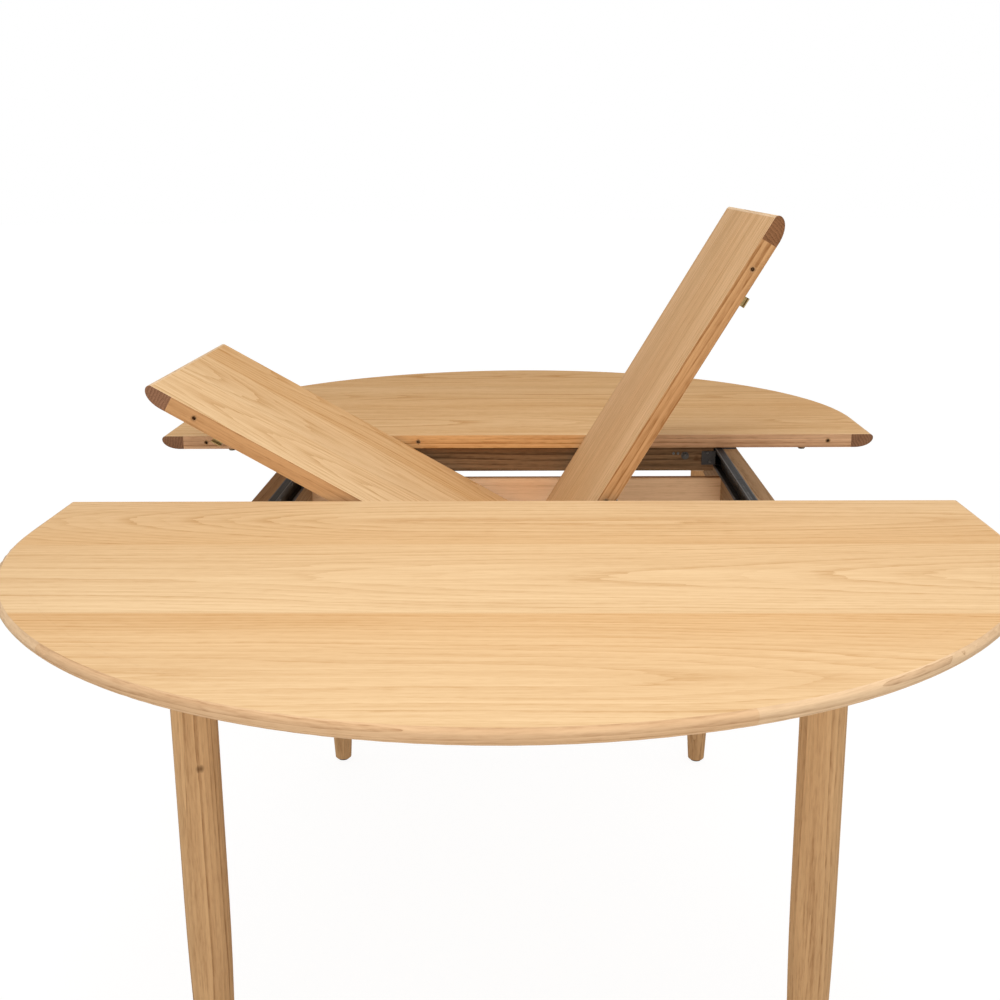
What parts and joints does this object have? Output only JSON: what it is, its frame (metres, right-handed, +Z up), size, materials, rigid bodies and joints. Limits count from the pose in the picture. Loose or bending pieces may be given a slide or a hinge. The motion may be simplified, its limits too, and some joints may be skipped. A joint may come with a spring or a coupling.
{
  "type": "extending dining table",
  "caption": "Round-ended oak dining table on turned legs; the half tops slide apart on steel runners and a folding leaf swings up on a pivot to fill the gap.",
  "frame": {"origin": "on the floor, under the middle of the table", "axes": "+Z up; Y along the pull of the half tops, the front half at -Y; X across, the pivoted wing of the leaf at +X"},
  "size_m": [1.2, 1.9548, 1.114],
  "materials": {
    "oak_top": "satin lacquer on oak staves",
    "oak_lipping": "satin lacquer on solid oak",
    "oak_leg": "satin lacquer on turned oak",
    "oak_frame": "matt lacquer on oak",
    "pale_wood": "sanded beech",
    "black_steel": "black electro-coat",
    "zinc_steel": "bright zinc plate",
    "brass": "plain brass",
    "bronze_bush": "dull brown sintered bush",
    "black_nylon": "moulded nylon"
  },
  "bodies": {
    "frame": {"side_rail_left": "oak_frame", "side_rail_right": "oak_frame", "foot_glides": "black_nylon", "corner_blocks": "pale_wood", "leg_bolts": "zinc_steel", "glide_strips": "black_nylon", "leaf_ledges": "pale_wood", "pivot_brackets": "zinc_steel", "pivot_bushes": "black_nylon", "front_end_rail": "oak_frame", "front_cross_rail": "pale_wood", "front_leg_left": "oak_leg", "front_leg_right": "oak_leg", "front_slide_channel_left": "black_steel", "front_slide_channel_right": "black_steel", "back_end_rail": "oak_frame", "back_cross_rail": "pale_wood", "back_leg_left": "oak_leg", "back_leg_right": "oak_leg", "back_slide_channel_left": "black_steel", "back_slide_channel_right": "black_steel"},
    "front_top": {"front_top_panel": "oak_top", "front_edge_band": "oak_lipping", "front_joint_lipping": "oak_lipping", "front_bearers": "oak_frame", "front_runner_angles": "zinc_steel", "front_lock_plates": "zinc_steel", "front_slide_runner_left": "black_steel", "front_slide_runner_right": "black_steel", "front_dowels": "zinc_steel"},
    "back_top": {"back_top_panel": "oak_top", "back_edge_band": "oak_lipping", "back_joint_lipping": "oak_lipping", "back_bearers": "oak_frame", "back_runner_angles": "zinc_steel", "back_lock_plates": "zinc_steel", "back_slide_runner_left": "black_steel", "back_slide_runner_right": "black_steel", "back_dowel_bushes": "bronze_bush"},
    "leaf_right": {"leaf_right_panel": "oak_top", "leaf_right_end_band": "oak_lipping", "leaf_right_lippings": "oak_lipping", "leaf_right_dowels": "zinc_steel", "leaf_right_bushes": "bronze_bush", "leaf_right_keepers": "zinc_steel", "leaf_right_hinge_flaps": "brass", "leaf_pivot_ears": "zinc_steel", "leaf_pivot_pins": "zinc_steel", "leaf_hinge_pins": "brass"},
    "leaf_left": {"leaf_left_panel": "oak_top", "leaf_left_end_band": "oak_lipping", "leaf_left_lippings": "oak_lipping", "leaf_left_dowels": "zinc_steel", "leaf_left_bushes": "bronze_bush", "leaf_left_keepers": "zinc_steel", "leaf_left_hinge_flaps": "brass"},
    "front_lock_lever_left": {"front_lock_lever_left": "zinc_steel"},
    "front_lock_lever_right": {"front_lock_lever_right": "zinc_steel"},
    "back_lock_lever_left": {"back_lock_lever_left": "zinc_steel"},
    "back_lock_lever_right": {"back_lock_lever_right": "zinc_steel"}
  },
  "joints": [
    {"name": "front_top_slide", "type": "slide", "parent": "frame", "child": "front_top", "axis": [0, -1, 0], "range_m": [-0.0098, 0.012]},
    {"name": "back_top_slide", "type": "slide", "parent": "frame", "child": "back_top", "axis": [0, 1, 0], "range_m": [-0.0098, 0.012]},
    {"name": "leaf_pivot", "type": "hinge", "parent": "frame", "child": "leaf_right", "pos_m": [0.14, 0, 0.7024], "axis": [0, -1, 0], "range_deg": [-59, 59]},
    {"name": "leaf_fold", "type": "hinge", "parent": "leaf_right", "child": "leaf_left", "pos_m": [0.03545, 0, 0.60189], "axis": [0, 1, 0], "range_deg": [-88.85, 88.85]},
    {"name": "front_lock_swing_left", "type": "hinge", "parent": "front_top", "child": "front_lock_lever_left", "pos_m": [-0.4842, -0.2415, 0.7156], "axis": [0, 0, -1], "range_deg": [0, 180]},
    {"name": "front_lock_swing_right", "type": "hinge", "parent": "front_top", "child": "front_lock_lever_right", "pos_m": [0.4842, -0.2415, 0.7156], "axis": [0, 0, 1], "range_deg": [0, 180]},
    {"name": "back_lock_swing_left", "type": "hinge", "parent": "back_top", "child": "back_lock_lever_left", "pos_m": [-0.4842, 0.2415, 0.7156], "axis": [0, 0, 1], "range_deg": [0, 180]},
    {"name": "back_lock_swing_right", "type": "hinge", "parent": "back_top", "child": "back_lock_lever_right", "pos_m": [0.4842, 0.2415, 0.7156], "axis": [0, 0, -1], "range_deg": [0, 180]}
  ],
  "couplings": [
    {"joint": "leaf_fold", "follows": "leaf_pivot", "ratio": 1.5051}
  ]
}
